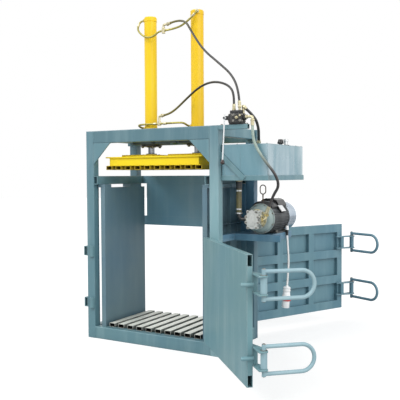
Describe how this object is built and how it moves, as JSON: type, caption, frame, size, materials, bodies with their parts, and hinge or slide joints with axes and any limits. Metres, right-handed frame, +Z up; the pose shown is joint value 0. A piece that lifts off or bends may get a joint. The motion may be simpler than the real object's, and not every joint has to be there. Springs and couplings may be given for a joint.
{
  "type": "vertical baling press",
  "caption": "Upright scrap baler with a welded frame, two vertical cylinders, a platen, doors front and rear, and a power pack on its right side.",
  "frame": {"origin": "on the floor at the centre of the frame's footprint", "axes": "+X to the right seen from the front, +Y to the rear, +Z up"},
  "size_m": [2.6463, 3.0948, 3.125],
  "materials": {
    "frame_paint": "satin",
    "yellow_paint": "gloss",
    "slat_paint": "satin",
    "dark_tube": "satin",
    "rod_chrome": "polished",
    "zinc": "satin",
    "handle_paint": "satin",
    "hose_rubber": "matte",
    "cord_rubber": "matte",
    "black_plastic": "matte",
    "plug_plastic": "satin",
    "motor_iron": "satin",
    "bell_alloy": "satin",
    "pump_alloy": "satin",
    "fan_cover_steel": "polished",
    "bolt_steel": "satin",
    "valve_iron": "satin"
  },
  "bodies": {
    "frame": {"front_posts": "frame_paint", "rear_posts": "frame_paint", "top_beams": "frame_paint", "base_frame": "frame_paint", "side_rails": "frame_paint", "corner_gussets": "frame_paint", "left_side_wall": "frame_paint", "right_side_wall": "frame_paint", "rear_upper_panel": "frame_paint", "floor_bearers": "frame_paint", "cylinder_beams": "frame_paint", "hinge_posts": "frame_paint", "latch_keepers": "frame_paint", "oil_tank": "frame_paint", "tank_lid": "frame_paint", "tank_cradle": "frame_paint", "motor_shelf": "frame_paint", "valve_arm": "frame_paint", "cylinder_barrels": "yellow_paint", "cylinder_caps": "yellow_paint", "floor_slats": "slat_paint", "cylinder_glands": "dark_tube", "cylinder_pipes": "dark_tube", "hydraulic_fittings": "zinc", "upper_hose": "hose_rubber", "lower_hose": "hose_rubber", "pressure_hose": "hose_rubber", "return_hose": "hose_rubber", "suction_hose": "hose_rubber", "power_cord": "cord_rubber", "breather_cap": "black_plastic", "filler_cap": "black_plastic", "terminal_cover": "black_plastic", "cord_gland": "black_plastic", "power_plug": "plug_plastic", "motor_body": "motor_iron", "bell_housing": "bell_alloy", "gear_pump": "pump_alloy", "fan_cover": "fan_cover_steel", "machine_bolts": "bolt_steel", "lifting_loop": "bolt_steel", "valve_body": "valve_iron"},
    "press": {"platen": "yellow_paint", "platen_channels": "dark_tube", "rod_flanges": "yellow_paint", "piston_rods": "rod_chrome"},
    "front_door": {"front_door_frame": "frame_paint", "front_door_sheet": "frame_paint", "front_door_fittings": "frame_paint"},
    "rear_door": {"rear_door_frame": "frame_paint", "rear_door_sheet": "frame_paint", "rear_door_fittings": "frame_paint"},
    "front_upper_handle": {"front_upper_handle": "handle_paint"},
    "front_lower_handle": {"front_lower_handle": "handle_paint"},
    "rear_upper_handle": {"rear_upper_handle": "handle_paint"},
    "rear_lower_handle": {"rear_lower_handle": "handle_paint"},
    "lever": {"control_lever": "bolt_steel", "lever_knob": "black_plastic"},
    "fan": {"motor_fan": "black_plastic"}
  },
  "joints": [
    {"name": "press_slide", "type": "slide", "parent": "frame", "child": "press", "axis": [0, 0, 1], "range_m": [-0.9, 0]},
    {"name": "front_door_hinge", "type": "hinge", "parent": "frame", "child": "front_door", "pos_m": [0.6515, -0.4115, 0.587], "axis": [0, 0, 1], "range_deg": [-133.5, 30]},
    {"name": "rear_door_hinge", "type": "hinge", "parent": "frame", "child": "rear_door", "pos_m": [0.6515, 0.4115, 0.587], "axis": [0, 0, -1], "range_deg": [-116, 34]},
    {"name": "lever_pivot", "type": "hinge", "parent": "frame", "child": "lever", "pos_m": [0.802, -0.418, 2.055], "axis": [0, 1, 0], "range_deg": [-18, 18], "stiffness_Nm_per_rad": 6},
    {"name": "fan_spin", "type": "hinge", "parent": "frame", "child": "fan", "pos_m": [0.9675, 0.35, 1.188], "axis": [0, 1, 0], "continuous": true},
    {"name": "front_upper_latch", "type": "hinge", "parent": "front_door", "child": "front_upper_handle", "pos_m": [1.60518, -1.37725, 0.845], "axis": [0, 0, 1], "range_deg": [-90, 90]},
    {"name": "front_lower_latch", "type": "hinge", "parent": "front_door", "child": "front_lower_handle", "pos_m": [1.60518, -1.37725, 0.345], "axis": [0, 0, 1], "range_deg": [-90, 90]},
    {"name": "rear_upper_latch", "type": "hinge", "parent": "rear_door", "child": "rear_upper_handle", "pos_m": [1.27064, 1.61933, 0.845], "axis": [0, 0, 1], "range_deg": [-90, 90]},
    {"name": "rear_lower_latch", "type": "hinge", "parent": "rear_door", "child": "rear_lower_handle", "pos_m": [1.27064, 1.61933, 0.345], "axis": [0, 0, 1], "range_deg": [-90, 90]}
  ]
}
